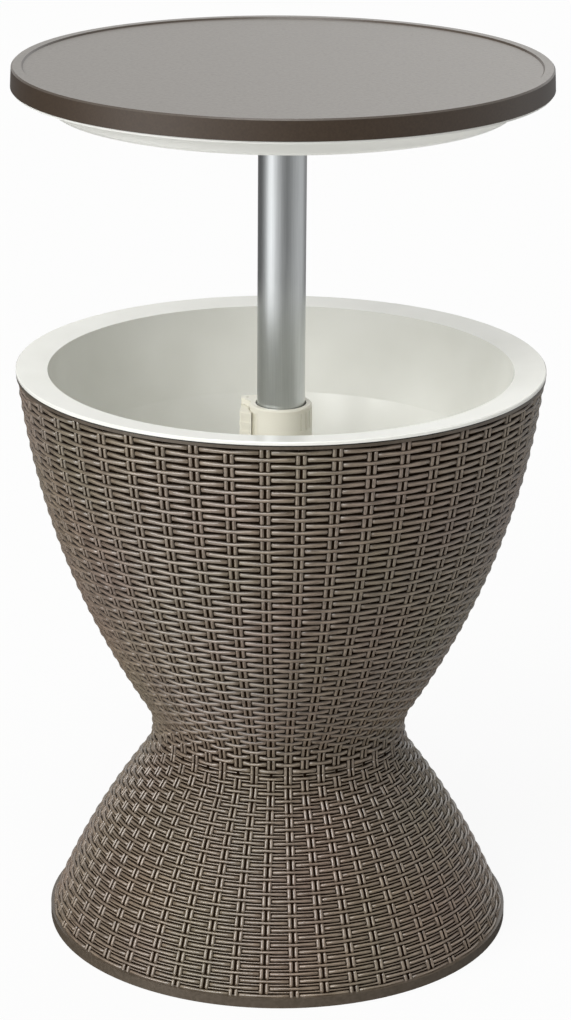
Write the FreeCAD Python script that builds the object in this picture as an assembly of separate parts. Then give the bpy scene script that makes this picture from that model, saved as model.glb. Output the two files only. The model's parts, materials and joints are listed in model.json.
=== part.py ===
import FreeCAD, Part
import math
import os

# Cooler table with a lid that rises on a mast. Millimetres, Z up, the front towards -Y.
# The origin is the centre of the foot on the floor, and the lid stands at its full height.

V = FreeCAD.Vector
UP = V(0, 0, 1)

# Clearances
running_fit = 0.08        # radial, a shaft or ring that slides or turns in its bore
loose_fit = 0.2           # radial, a piece that only drops into its hole
face_gap = 0.2            # between two faces that turn or swing past each other
over_cut = 1.0            # a cutting tool runs this far past the face it cuts

# Hourglass, measured to the crests of the wicker
rim_height = 556.5        # floor to the top of the tub's rim
rim_thickness = 3.1
rim_radius = 247.5        # wicker just below the rim
waist_radius = 122.8
waist_height = 195.7
waist_blend = 52.0        # radius of the waist's own curve
upper_arc = 758.0         # radius of the bowl's side, seen from the side
lower_arc = 715.0         # radius of the base's side
foot_radius = 223.2       # plain band round the foot
foot_band_height = 9.5
foot_step = 2.0           # how far the foot band stands out from the crests
rim_band_height = 4.0     # plain band below the rim
wicker_relief = 3.0       # the weave's crests stand this far out from the shells' walls
stake_pairs = 48          # upright pairs of stakes round each shell, one rib under each pair
stake_first_angle = -93.2 # of the first pair, from +X
stake_rib_angle = 1.3     # that a rib spans, between the centre lines of a pair
stake_rib_proud = 1.1     # rib's face, beyond the wall
stake_rib_root = 0.8      # how deep the ribs reach into the wall and the bands
arc_stretch = 110.0       # outer faces follow the curve in arcs about this tall
taper_stretch = 85.0      # inner faces follow it in straight tapers about this tall

# Shells
bowl_wall = 3.0
base_wall = 3.5
seam_drop = 4.7           # seam between base and bowl, below the waist
base_plate = 4.0
bowl_plate = 4.0
web_thickness = 3.0
web_height = 36.0
web_inner_radius = 62.0
web_embed = 2.4           # how deep the webs reach into the wall and the plate

# Tub
tub_inset = 29.0          # wicker crest to the tub's inner face
tub_wall = 3.0
tub_floor_height = 292.0
tub_floor = 3.5
tub_corner = 7.0          # bevel between wall and floor
rim_edge_overhang = 0.4    # rim's outer edge, beyond the wicker below it
rim_edge_bevel = 0.9
rim_dish = 3.1            # the rim's inner edge lies lower than its outer edge
rim_lip_depth = 5.4       # locating lip inside the bowl
rim_lip_wall = 2.5
rim_lip_gap = 0.6         # below the lip, to the bend of the bowl's inner face
column_wall = 2.5         # at the top of the column
column_draft = 6.3        # how much wider the column is at the floor
column_corner = 5.0       # bevel between column and floor

# Lid
lid_travel = 262.0
band_height = 19.3        # brown band
band_draft = 0.9          # the band is wider at its lower edge
top_wall = 3.0
top_edge_bevel = 1.5
lip_width = 9.6           # raised lip round the table top
recess_depth = 1.6
recess_slope = 1.4
liner_flange = 2.2        # white edge that shows below the band
flange_inset = 1.7
plug_clearance = 2.4      # plug to the tub's mouth
plug_depth = 17.4
plug_draft = 2.0
plug_bevel = 2.4
liner_wall = 3.0
plug_ring = 14.5          # width of the plug's lower ring
liner_recess = 4.0
locating_lip = 6.3
locating_lip_wall = 2.2

# Mast
mast_radius = 22.5
mast_wall = 1.5
head_flange_radius = 46.0
head_flange = 4.0
head_sleeve_wall = 3.4
head_boss_drop = 13.0     # socket below the lid
head_boss_wall = 4.0      # at the boss's lower end
head_boss_spread = 1.4    # how much thicker it is at the flange
head_cap = 3.0
mast_end_gap = 0.2
foot_ring_height = 32.0
foot_cap = 6.0
foot_cap_gap = 0.6        # radial, foot cap to the sleeve
foot_spigot = 24.0
foot_spigot_wall = 2.4
snap_thickness = 1.6
snap_groove = 0.5
snap_width = 2.4
snap_opening = 9.0
bumper_height = 5.0
bumper_gap = 0.5          # radial, bumper to the sleeve
lead_in = 1.0             # bevel on the ends of rings and plugs

# Guide sleeve and its nut
sleeve_bore = 26.5        # the foot ring runs here
sleeve_wall = 2.5
sleeve_flange_width = 2.4
sleeve_flange = 4.0
sleeve_neck = 0.7         # gap between the mast and the sleeve above the stop
stop_below_flange = 64.0  # the foot's stop, below the sleeve's flange
sleeve_run_out = 10.0     # sleeve left below the foot ring when the lid is down
spigot_height = 7.5
spigot_wall = 2.1
nut_height = 8.0
nut_width = 12.0
nut_notches = 6
nut_notch_radius = 3.6

# Collar and clamp lever
collar_below_rim = 38.1   # collar's top edge, below the top of the rim
collar_height = 34.4
collar_wall = 4.7
collar_bevel = 1.4
collar_lip = 2.4
collar_lip_gap = 1.5      # dark ring between the mast and the collar's lip
bush_wall = 2.1
bush_gap = 0.1            # radial, bush to the collar
bush_slit = 1.2
bush_slit_angle = 241.0
grip_first_angle = -50.0
grip_pitch_angle = 13.0
grip_count = 8
grip_radius = 0.9
grip_top_drop = 4.4
grip_length = 17.0
pin_radius = 1.6
pin_distance = 35.8       # collar's axis to the lever's pin
pin_angle = 151.6
pin_sink = 1.2            # pin end below the ear's face
pin_fit = 0.02            # radial, in the ears
knuckle_radius = 6.0
upper_ear = 5.9
lower_ear = 4.5
ear_gap = 0.4
lever_gap = 0.8           # lever to the collar's side
lever_pin_fit = 0.05      # radial, in the lever
lever_width = 8.0
lever_reach = 9.0         # outer edge runs this far in front of the mast's axis
tip_reach = 15.0
tip_inset = 27.6          # the tip's inner corner, left of the mast's axis
tip_bevel = 1.6
cam_throw = 4.4
cam_radius = 6.5
cam_clearance = 0.6       # cam to the sides of its window
cam_height = 16.0
lever_rib = 0.9
lever_rib_height = 4.0
lever_rib_pitch = 9.0
lever_rib_count = 3
scoop_radius = 6.0        # finger scoop in the collar, beside the lever's tip
scoop_depth = 2.4
scoop_angle = 213.0

# Drain, square to the bowl's side at the rear
drain_rise = 14.0         # tub's floor to the point where its axis meets the wall
drain_bore = 5.2
drain_tube_wall = 2.8
drain_flange_radius = 12.0
drain_flange = 2.5
drain_gasket_thickness = 1.0
drain_boss_radius = 13.5
drain_boss_proud = 2.5
drain_pad_radius = 17.0
drain_pad_proud = 2.0     # beyond the weave's crests
drain_pad_inside = 3.0    # flat seat on the bowl's inner side
drain_nut_radius = 15.0
drain_nut_height = 6.0
drain_thread_out = 3.0    # tube left outside the nut
plug_head_radius = 12.5
plug_head = 4.0
plug_shank = 16.0
plug_bar_width = 5.0
plug_bar_height = 8.0
plug_bar_length = 21.0
seal_thickness = 1.6
seal_width = 2.0

# Screws and rivets
waist_screw_count = 4
waist_screw_circle_radius = 95.0
waist_screw_radius = 2.5
waist_screw_length = 22.0
head_screw_count = 4
head_screw_circle_radius = 36.0
liner_screw_count = 4
liner_screw_inset = 19.8  # from the step of the plug's ring
lid_screw_radius = 2.0
lid_screw_length = 18.0
screw_post_wall = 3.0
rivet_radius = 1.6
rivet_head = 1.2
rivet_drop = 6.0          # below the head's flange

# Heights worked out from the ones above
shell_top = rim_height - rim_thickness
rim_lip_bottom = shell_top - rim_lip_depth
rim_seat_bottom = rim_lip_bottom - rim_lip_gap
seam_height = waist_height - seam_drop
collar_top = rim_height - collar_below_rim
collar_bottom = collar_top - collar_height
column_top = collar_bottom - sleeve_flange
flange_bottom = rim_height + lid_travel
band_bottom = flange_bottom + liner_flange
lid_top = band_bottom + band_height
recess_floor = lid_top - recess_depth
top_underside = recess_floor - top_wall
plug_bottom = flange_bottom - plug_depth
liner_underside = plug_bottom + liner_recess
liner_top = liner_underside + liner_wall
head_underside = liner_underside - head_flange
boss_bottom = head_underside - head_boss_drop
rivet_height = head_underside - rivet_drop
stop_height = column_top - stop_below_flange
bumper_top = stop_height - face_gap
snap_top = bumper_top - bumper_height
snap_bottom = snap_top - snap_thickness
foot_ring_top = snap_bottom - face_gap
foot_ring_bottom = foot_ring_top - foot_ring_height
mast_bottom = foot_ring_bottom - face_gap
mast_top = liner_top + (top_underside - liner_top) * 0.8
sleeve_bottom = foot_ring_bottom - lid_travel - sleeve_run_out
lever_bottom = collar_bottom + lower_ear + ear_gap
lever_top = collar_top - upper_ear - ear_gap
cam_bottom = (lever_bottom + lever_top - cam_height) / 2

# Radii worked out from the ones above
rim_edge_radius = rim_radius + rim_edge_overhang
sleeve_radius = sleeve_bore + sleeve_wall
column_bore = sleeve_radius + loose_fit
column_radius = column_bore + column_wall
bush_radius = mast_radius + running_fit + bush_wall
collar_bore = bush_radius + bush_gap
collar_radius = collar_bore + collar_wall
spigot_radius = collar_bore + bush_gap + spigot_wall
drain_tube_radius = drain_bore + drain_tube_wall
pin_point = V(pin_distance * math.cos(math.radians(pin_angle)),
              pin_distance * math.sin(math.radians(pin_angle)), 0)


def tangent_centre(point, radius, blend_centre, blend_radius):
    """Centre of the arc that passes through point and touches the blend circle from outside."""
    dr = blend_centre[0] - point[0]
    dz = blend_centre[1] - point[1]
    gap = math.hypot(dr, dz)
    along = (radius ** 2 - (radius + blend_radius) ** 2 + gap ** 2) / (2 * gap)
    aside = math.sqrt(radius ** 2 - along ** 2)
    ur, uz = dr / gap, dz / gap
    first = (point[0] + along * ur - aside * uz, point[1] + along * uz + aside * ur)
    second = (point[0] + along * ur + aside * uz, point[1] + along * uz - aside * ur)
    return min(first, second)


waist_centre = (waist_radius + waist_blend, waist_height)
upper_centre = tangent_centre((rim_radius, shell_top), upper_arc, waist_centre, waist_blend)
lower_centre = tangent_centre((foot_radius - foot_step, foot_band_height), lower_arc,
                              waist_centre, waist_blend)

# Distances of the drain's faces from the centre of the bowl's side arc, along the drain's axis
tub_inner_arc = upper_arc - tub_inset
drain_height = tub_floor_height + drain_rise
pad_inside = upper_arc - wicker_relief - bowl_wall - drain_pad_inside
pad_face = upper_arc + drain_pad_proud
drain_boss_inside = tub_inner_arc - drain_boss_proud
drain_boss_outside = pad_inside - face_gap
drain_seat = drain_boss_inside - drain_gasket_thickness
tube_end = pad_face + drain_nut_height + drain_thread_out
drain_tilt = math.degrees(math.asin((upper_centre[1] - drain_height) / tub_inner_arc))


def joint_height(centre, depth):
    """Height where the waist's curve meets a side's arc, at a depth inside the crests."""
    dz = centre[1] - waist_centre[1]
    span = math.hypot(centre[0] - waist_centre[0], dz)
    return waist_centre[1] + (waist_blend + depth) * dz / span


def wall_radius(depth, z):
    """Radius of the hourglass at height z, depth measured square into the wall."""
    if z > joint_height(upper_centre, depth):
        return upper_centre[0] + math.sqrt((upper_arc - depth) ** 2 - (z - upper_centre[1]) ** 2)
    if z < joint_height(lower_centre, depth):
        return lower_centre[0] + math.sqrt((lower_arc - depth) ** 2 - (z - lower_centre[1]) ** 2)
    return waist_centre[0] - math.sqrt((waist_blend + depth) ** 2 - (z - waist_centre[1]) ** 2)


rim_seat_radius = wall_radius(wicker_relief + bowl_wall, rim_seat_bottom)
plug_mouth_radius = wall_radius(tub_inset, rim_height - rim_dish) - plug_clearance
plug_foot_radius = plug_mouth_radius - plug_draft
plug_step_radius = plug_foot_radius - plug_ring
liner_screw_circle_radius = plug_step_radius - liner_screw_inset


class Outline:
    """Closed outline in the radius-height plane, made of straight runs and arcs."""

    def __init__(self, r, z):
        self.start = V(r, 0, z)
        self.last = self.start
        self.edges = []

    def to(self, r, z):
        """Straight run to a point."""
        point = V(r, 0, z)
        self.edges.append(Part.makeLine(self.last, point))
        self.last = point
        return self

    def wall(self, depth, z_to, stretch=arc_stretch, bowed=True):
        """Follow the hourglass at a depth to the height z_to, in arcs or in straight tapers."""
        z = self.last.z
        low, high = min(z, z_to), max(z, z_to)
        joints = [joint_height(lower_centre, depth), joint_height(upper_centre, depth)]
        ends = sorted([h for h in joints if low < h < high] + [z_to], reverse=z_to < z)
        for end in ends:
            count = max(1, round(abs(end - z) / stretch))
            step = (end - z) / count
            for i in range(count):
                z += step
                if bowed:
                    middle = V(wall_radius(depth, z - step / 2), 0, z - step / 2)
                    point = V(wall_radius(depth, z), 0, z)
                    self.edges.append(Part.Arc(self.last, middle, point).toShape())
                    self.last = point
                else:
                    self.to(wall_radius(depth, z), z)
        return self

    def tapers(self, depth, z_to):
        """Follow the hourglass in straight tapers, as its hidden faces do."""
        return self.wall(depth, z_to, taper_stretch, False)

    def revolve(self, angle=360):
        """Solid of revolution about Z, whole or from +X to an angle."""
        self.edges.append(Part.makeLine(self.last, self.start))
        return Part.Face(Part.Wire(self.edges)).revolve(V(0, 0, 0), UP, angle)


def turned(*points):
    """Solid of revolution on a closed outline of (radius, height) points."""
    outline = Outline(*points[0])
    for r, z in points[1:]:
        outline.to(r, z)
    return outline.revolve()


def ring(inner, outer, bottom, top):
    """Plain ring."""
    return turned((inner, bottom), (outer, bottom), (outer, top), (inner, top))


def rod(radius, bottom, top, x=0.0, y=0.0):
    """Upright cylinder."""
    return Part.makeCylinder(radius, top - bottom, V(x, y, bottom))


def slab(points, bottom, top):
    """Upright prism on a plan outline of points."""
    corners = [V(x, y, bottom) for x, y in points]
    face = Part.Face(Part.makePolygon(corners + corners[:1]))
    return face.extrude(V(0, 0, top - bottom))


def polar(radius, angle):
    """Plan point at a radius and an angle in degrees."""
    return (radius * math.cos(math.radians(angle)), radius * math.sin(math.radians(angle)))


def circle_places(count, radius, first=0.0):
    """Plan points evenly spaced on a circle."""
    return [polar(radius, first + i * 360.0 / count) for i in range(count)]


def screw_group(count, circle, shank, length, seat, first=0.0):
    """Screws on a circle that point up, their heads below the seat, as one group of solids."""
    head_radius = shank * 2
    head = shank * 1.25
    screw = turned((0, seat - head), (head_radius, seat - head), (head_radius, seat),
                   (shank, seat), (shank, seat + length), (0, seat + length))
    return Part.makeCompound([screw.translated(V(x, y, 0))
                              for x, y in circle_places(count, circle, first)])


def at_drain(shape):
    """Move a shape that stands on Z to the drain's axis, which slopes down to the rear."""
    tilted = shape.rotated(V(0, 0, 0), V(1, 0, 0), -(90 + drain_tilt))
    return tilted.translated(V(0, upper_centre[0], upper_centre[1]))


def with_stake_ribs(shell, bottom, top):
    """Shell with an upright rib under each pair of stakes, which follows the hourglass."""
    face = wicker_relief - stake_rib_proud
    root = wicker_relief + stake_rib_root
    rib = (Outline(wall_radius(face, bottom), bottom).wall(face, top)
           .to(wall_radius(root, top), top).wall(root, bottom).revolve(stake_rib_angle))
    first = stake_first_angle - stake_rib_angle / 2
    return shell.fuse([rib.rotated(V(0, 0, 0), UP, first + i * 360.0 / stake_pairs)
                       for i in range(stake_pairs)])


def make_bowl_shell():
    """Upper wicker shell with its stake ribs, floor, screw posts and drain pad."""
    ground = wicker_relief
    inside = wicker_relief + bowl_wall
    band_height_low = shell_top - rim_band_height
    shell = (Outline(column_bore, seam_height).to(wall_radius(ground, seam_height), seam_height)
             .wall(ground, band_height_low)
             .to(rim_radius, band_height_low)
             .to(rim_radius, shell_top)
             .to(rim_seat_radius, shell_top)
             .to(rim_seat_radius, rim_seat_bottom)
             .tapers(inside, seam_height + bowl_plate)
             .to(column_bore, seam_height + bowl_plate).revolve())
    shell = with_stake_ribs(shell, seam_height, band_height_low + stake_rib_root)
    post_top = seam_height + waist_screw_length
    for x, y in circle_places(waist_screw_count, waist_screw_circle_radius):
        shell = shell.fuse(rod(waist_screw_radius + screw_post_wall, seam_height + bowl_plate / 2,
                               post_top, x, y))
    for x, y in circle_places(waist_screw_count, waist_screw_circle_radius):
        shell = shell.cut(rod(waist_screw_radius + running_fit, seam_height - over_cut,
                              post_top + over_cut, x, y))
    shell = shell.fuse(at_drain(rod(drain_pad_radius, pad_inside, pad_face)))
    return shell.cut(at_drain(rod(drain_tube_radius + loose_fit, pad_inside - over_cut,
                                  pad_face + over_cut)))


def make_base_shell():
    """Lower wicker shell with its stake ribs, top plate, webs and screw holes."""
    ground = wicker_relief
    inside = wicker_relief + base_wall
    under = seam_height - base_plate
    shell = (Outline(foot_radius, 0).to(foot_radius, foot_band_height)
             .to(wall_radius(ground, foot_band_height), foot_band_height)
             .wall(ground, seam_height)
             .to(column_bore, seam_height).to(column_bore, under)
             .to(wall_radius(inside, under), under)
             .tapers(inside, 0).revolve())
    shell = with_stake_ribs(shell, foot_band_height - stake_rib_root, seam_height)
    reach = (Outline(0, 0).to(wall_radius(inside - web_embed, 0), 0)
             .wall(inside - web_embed, under + web_embed).to(0, under + web_embed).revolve())
    web = Part.makeBox(foot_radius, web_thickness, web_height + web_embed,
                       V(web_inner_radius, -web_thickness / 2, under - web_height))
    for i in range(waist_screw_count):
        angle = (i + 0.5) * 360.0 / waist_screw_count
        shell = shell.fuse(web.rotated(V(0, 0, 0), UP, angle).common(reach))
    for x, y in circle_places(waist_screw_count, waist_screw_circle_radius):
        shell = shell.cut(rod(waist_screw_radius + loose_fit, under - over_cut,
                              seam_height + over_cut, x, y))
    return shell


def make_waist_screws():
    """Screws from below through the base's plate into the bowl."""
    return screw_group(waist_screw_count, waist_screw_circle_radius, waist_screw_radius,
                       waist_screw_length, seam_height - base_plate)


def make_cooler_tub():
    """White tub: dished rim, insulated wall, floor and hollow centre column."""
    outside = tub_inset - tub_wall
    inner_edge = rim_height - rim_dish
    floor_bottom = tub_floor_height - tub_floor
    corner_radius = wall_radius(tub_inset, tub_floor_height + tub_corner) - tub_corner
    lip_outer = rim_seat_radius - loose_fit
    lip_inner = lip_outer - rim_lip_wall
    tub = (Outline(rim_edge_radius, shell_top)
           .to(rim_edge_radius, rim_height - rim_edge_bevel)
           .to(rim_edge_radius - rim_edge_bevel, rim_height)
           .to(wall_radius(tub_inset, inner_edge), inner_edge)
           .tapers(tub_inset, tub_floor_height + tub_corner)
           .to(corner_radius, tub_floor_height)
           .to(column_radius + column_draft + column_corner, tub_floor_height)
           .to(column_radius + column_draft, tub_floor_height + column_corner)
           .to(column_radius, column_top)
           .to(column_bore, column_top)
           .to(column_bore, floor_bottom)
           .to(wall_radius(outside, floor_bottom), floor_bottom)
           .tapers(outside, inner_edge - tub_wall)
           .to(lip_inner, inner_edge - tub_wall)
           .to(lip_inner, rim_lip_bottom)
           .to(lip_outer, rim_lip_bottom)
           .to(lip_outer, shell_top).revolve())
    boss = at_drain(rod(drain_boss_radius, drain_boss_inside, drain_boss_outside))
    hole = at_drain(rod(drain_tube_radius + loose_fit, drain_boss_inside - drain_boss_radius,
                        drain_boss_outside + over_cut))
    return tub.fuse(boss).cut(hole)


def make_guide_sleeve():
    """Sleeve in the column: spigot and flange above, stop shoulder and long bore below."""
    neck = mast_radius + sleeve_neck
    spigot_inner = spigot_radius - spigot_wall
    spigot_top = collar_bottom + spigot_height
    flange = sleeve_radius + sleeve_flange_width
    return turned((sleeve_bore, sleeve_bottom), (sleeve_radius, sleeve_bottom),
                  (sleeve_radius, column_top), (flange, column_top),
                  (flange, collar_bottom), (spigot_radius, collar_bottom),
                  (spigot_radius, spigot_top), (spigot_inner, spigot_top),
                  (spigot_inner, collar_bottom), (neck, collar_bottom),
                  (neck, stop_height), (sleeve_bore, stop_height))


def make_sleeve_nut():
    """Notched ring nut that draws the sleeve, the bowl and the base together."""
    top = seam_height - base_plate
    outer = sleeve_radius + nut_width
    nut = ring(sleeve_radius + running_fit, outer, top - nut_height, top)
    for x, y in circle_places(nut_notches, outer):
        nut = nut.cut(rod(nut_notch_radius, top - nut_height - over_cut, top + over_cut, x, y))
    return nut


def ear(bottom, top):
    """Ear from the collar's ring to the lever's pin, straight on the back, short in front."""
    spread = math.degrees(math.acos((collar_radius - knuckle_radius) / pin_distance))
    px, py = pin_point.x, pin_point.y
    back = polar(1.0, pin_angle - spread)
    front = polar(1.0, pin_angle + 90)
    plan = [(px + knuckle_radius * back[0], py + knuckle_radius * back[1]),
            (collar_radius * back[0], collar_radius * back[1]),
            polar(collar_bore + collar_wall / 2, pin_angle),
            polar(collar_radius - lever_gap / 2, pin_angle + spread / 2),
            (px + knuckle_radius * front[0], py + knuckle_radius * front[1]),
            (px, py)]
    return slab(plan, bottom, top).fuse(rod(knuckle_radius, bottom, top, px, py))


def make_collar_body():
    """Collar: ring over the sleeve's spigot, lip, ears, cam window, grip grooves, scoop."""
    lip_bore = mast_radius + collar_lip_gap
    lip_bottom = collar_top - collar_lip
    socket = spigot_radius + loose_fit
    socket_top = collar_bottom + spigot_height + loose_fit
    body = turned((socket, collar_bottom), (collar_radius, collar_bottom),
                  (collar_radius, collar_top - collar_bevel),
                  (collar_radius - collar_bevel, collar_top), (lip_bore, collar_top),
                  (lip_bore, lip_bottom), (collar_bore, lip_bottom),
                  (collar_bore, socket_top), (socket, socket_top))
    inside = rod(collar_bore, collar_bottom, collar_top).fuse(rod(socket, collar_bottom, socket_top))
    ears = ear(collar_top - upper_ear, collar_top).fuse(ear(collar_bottom, collar_bottom + lower_ear))
    body = body.fuse(ears.cut(inside))
    body = body.cut(rod(pin_radius + pin_fit, collar_bottom - over_cut, collar_top + over_cut,
                        pin_point.x, pin_point.y))
    window_reach = cam_radius + cam_throw
    window = Part.makeBox(collar_wall + 2 * over_cut, window_reach * 2, cam_height + 2 * cam_clearance,
                          V(collar_bore - over_cut, cam_clearance - window_reach,
                            cam_bottom - cam_clearance))
    body = body.cut(window.rotated(V(0, 0, 0), UP, pin_angle))
    groove_top = collar_top - grip_top_drop
    for i in range(grip_count):
        x, y = polar(collar_radius, grip_first_angle + i * grip_pitch_angle)
        body = body.cut(rod(grip_radius, groove_top - grip_length, groove_top, x, y))
    x, y = polar(collar_radius + scoop_radius - scoop_depth, scoop_angle)
    body = body.cut(rod(scoop_radius, collar_bottom - over_cut, lever_top, x, y))
    notch = Part.makeBox(collar_wall / 2 + over_cut, bush_slit, collar_lip + over_cut,
                         V(lip_bore - over_cut, -bush_slit / 2, lip_bottom))
    return body.cut(notch.rotated(V(0, 0, 0), UP, bush_slit_angle))


def make_guide_bush():
    """Split bush between the mast and the collar; the cam squeezes it."""
    bottom = collar_bottom + face_gap / 2
    bush = ring(mast_radius + running_fit, bush_radius, bottom, collar_top - collar_lip - face_gap)
    slit = Part.makeBox(bush_wall + 2 * over_cut, bush_slit, collar_height,
                        V(mast_radius - over_cut, -bush_slit / 2, bottom))
    return bush.cut(slit.rotated(V(0, 0, 0), UP, bush_slit_angle))


def lever_plan(grow):
    """Plan points of the lever's arm, its outer sides moved out by grow."""
    inner = collar_radius + lever_gap - grow / 2
    px, py = pin_point.x, pin_point.y
    left = px - knuckle_radius
    side = -inner - lever_width - grow
    tip_angle = math.degrees(math.acos(-tip_inset / inner))
    pin_side = math.degrees(math.atan2(py - knuckle_radius, -left)) * -1 + 180
    count = 8
    sweep = [polar(inner, pin_side + (360 - tip_angle - pin_side) * i / count)
             for i in range(count + 1)]
    return ([(px, py), (left - grow / 2, py), (side, -lever_reach - grow / 2),
             (side + tip_bevel, -lever_reach - tip_bevel - grow), (-tip_inset, -tip_reach - grow)]
            + sweep[::-1])


def make_clamp_lever():
    """Cam lever: knuckle between the ears, cam lobe, arm round the collar, grip ribs."""
    px, py = pin_point.x, pin_point.y
    arm = slab(lever_plan(0.0), lever_bottom, lever_top)
    lever = arm.fuse(rod(knuckle_radius, lever_bottom, lever_top, px, py))
    cx, cy = polar(pin_distance - cam_throw, pin_angle)
    lever = lever.fuse(rod(cam_radius, cam_bottom, cam_bottom + cam_height, cx, cy))
    middle = (lever_bottom + lever_top) / 2
    for i in range(lever_rib_count):
        z = middle + (i - (lever_rib_count - 1) / 2) * lever_rib_pitch
        low = max(z - lever_rib_height / 2, lever_bottom)
        high = min(z + lever_rib_height / 2, lever_top)
        grip = Part.makeBox(pin_distance * 2, pin_distance * 2, high - low,
                            V(-pin_distance * 2, -pin_distance * 2, low))
        lever = lever.fuse(slab(lever_plan(lever_rib), low, high).common(grip))
    return lever.cut(rod(pin_radius + lever_pin_fit, lever_bottom - over_cut,
                         lever_top + over_cut, px, py))


def make_lever_pin():
    """Upright pin, held in both ears."""
    return rod(pin_radius, collar_bottom + pin_sink, collar_top - pin_sink, pin_point.x, pin_point.y)


def rivet_rods(radius):
    """Two rods through the head's boss and the tube, along X."""
    reach = mast_radius + head_boss_wall + head_boss_spread
    rod_right = Part.makeCylinder(radius, reach, V(mast_radius / 2, 0, rivet_height), V(1, 0, 0))
    return rod_right.fuse(rod_right.rotated(V(0, 0, 0), UP, 180))


def make_mast_tube():
    """Drawn tube with rivet holes at the top and a groove for the snap ring."""
    tube = ring(mast_radius - mast_wall, mast_radius, mast_bottom, mast_top)
    groove = ring(mast_radius - snap_groove, mast_radius + over_cut, snap_bottom, snap_top)
    return tube.cut(groove).cut(rivet_rods(rivet_radius + lever_pin_fit))


def boss_radius(z):
    """Outer radius of the head's tapered boss below its flange."""
    share = (z - boss_bottom) / head_boss_drop
    return mast_radius + head_boss_wall + head_boss_spread * share


def make_mast_head():
    """Flanged socket: sleeve up into the lid, flange under the liner, tapered boss below."""
    bore = mast_radius + running_fit
    sleeve = mast_radius + head_sleeve_wall
    bore_top = mast_top + mast_end_gap
    cap_top = bore_top + head_cap
    head = turned((bore, boss_bottom), (boss_radius(boss_bottom), boss_bottom),
                  (boss_radius(head_underside), head_underside),
                  (head_flange_radius, head_underside), (head_flange_radius, liner_underside),
                  (sleeve, liner_underside), (sleeve, cap_top), (0, cap_top),
                  (0, bore_top), (bore, bore_top))
    for x, y in circle_places(head_screw_count, head_screw_circle_radius, 45):
        head = head.cut(rod(lid_screw_radius + loose_fit, head_underside - over_cut,
                            liner_underside + over_cut, x, y))
    return head.cut(rivet_rods(rivet_radius + lever_pin_fit))


def make_head_rivets():
    """Rivets through the boss into the tube, their heads on the tapered boss."""
    seat = boss_radius(rivet_height + 2 * rivet_radius) + lever_pin_fit
    inner = mast_radius - mast_wall - lead_in
    rivet = turned((0, inner), (rivet_radius, inner), (rivet_radius, seat),
                   (rivet_radius * 2, seat), (rivet_radius * 1.4, seat + rivet_head),
                   (0, seat + rivet_head))
    right = rivet.rotated(V(0, 0, 0), V(0, 1, 0), 90).translated(V(0, 0, rivet_height))
    return Part.makeCompound([right, right.rotated(V(0, 0, 0), UP, 180)])


def make_head_screws():
    """Screws through the head's flange into the table top."""
    return screw_group(head_screw_count, head_screw_circle_radius, lid_screw_radius,
                       lid_screw_length, head_underside, 45)


def make_liner_screws():
    """Screws that hold the liner to the table top."""
    return screw_group(liner_screw_count, liner_screw_circle_radius, lid_screw_radius,
                       lid_screw_length, liner_underside)


def lid_screw_places():
    """Places of the lid's screws, each with the height of its seat."""
    head = [(x, y, head_underside)
            for x, y in circle_places(head_screw_count, head_screw_circle_radius, 45)]
    liner = [(x, y, liner_underside)
             for x, y in circle_places(liner_screw_count, liner_screw_circle_radius)]
    return head + liner


def make_tabletop():
    """Brown cap: recessed top inside a raised lip, side band, screw posts below."""
    low = rim_edge_radius
    high = rim_edge_radius - band_draft
    lip_inner = high - lip_width
    top = turned((0, recess_floor), (lip_inner - recess_slope, recess_floor), (lip_inner, lid_top),
                 (high - top_edge_bevel, lid_top), (high, lid_top - top_edge_bevel),
                 (low, band_bottom), (low - top_wall, band_bottom),
                 (low - top_wall, top_underside), (0, top_underside))
    post = lid_screw_radius + screw_post_wall
    for x, y, seat in lid_screw_places():
        top = top.fuse(rod(post, liner_top, top_underside + top_wall / 2, x, y))
    for x, y, seat in lid_screw_places():
        hole_top = min(seat + lid_screw_length + over_cut, top_underside)
        top = top.cut(rod(lid_screw_radius + running_fit, liner_top - over_cut, hole_top, x, y))
    return top


def make_lid_liner():
    """White underside: edge flange, locating lip, tapered plug, recessed plate."""
    locate = rim_edge_radius - top_wall - loose_fit
    locate_inner = locate - locating_lip_wall
    flange = rim_edge_radius - flange_inset
    mouth = plug_mouth_radius
    foot = plug_foot_radius
    step = plug_step_radius
    ring_top = plug_bottom + liner_wall
    hole = mast_radius + head_sleeve_wall + loose_fit
    liner = turned((flange, flange_bottom), (flange, band_bottom), (locate, band_bottom),
                   (locate, band_bottom + locating_lip), (locate_inner, band_bottom + locating_lip),
                   (locate_inner, band_bottom), (mouth - liner_wall, band_bottom),
                   (foot - liner_wall, ring_top), (step - liner_wall, ring_top),
                   (step - liner_wall, liner_top), (hole, liner_top), (hole, liner_underside),
                   (step, liner_underside), (step, plug_bottom), (foot - plug_bevel, plug_bottom),
                   (foot, plug_bottom + plug_bevel), (mouth, flange_bottom))
    for x, y, seat in lid_screw_places():
        liner = liner.cut(rod(lid_screw_radius + loose_fit, liner_underside - over_cut,
                              liner_top + over_cut, x, y))
    return liner


def make_foot_ring():
    """Bush on the mast's lower end, a running fit on the mast and in the sleeve."""
    return ring(mast_radius + running_fit, sleeve_bore - running_fit, foot_ring_bottom, foot_ring_top)


def make_snap_ring():
    """Open spring ring in the tube's groove, above the foot ring."""
    inner = mast_radius - snap_groove + lever_pin_fit
    whole = ring(inner, inner + snap_width, snap_bottom, snap_top)
    opening = Part.makeBox(mast_radius * 2, snap_opening, snap_thickness,
                           V(0, -snap_opening / 2, snap_bottom))
    return whole.cut(opening)


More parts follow.
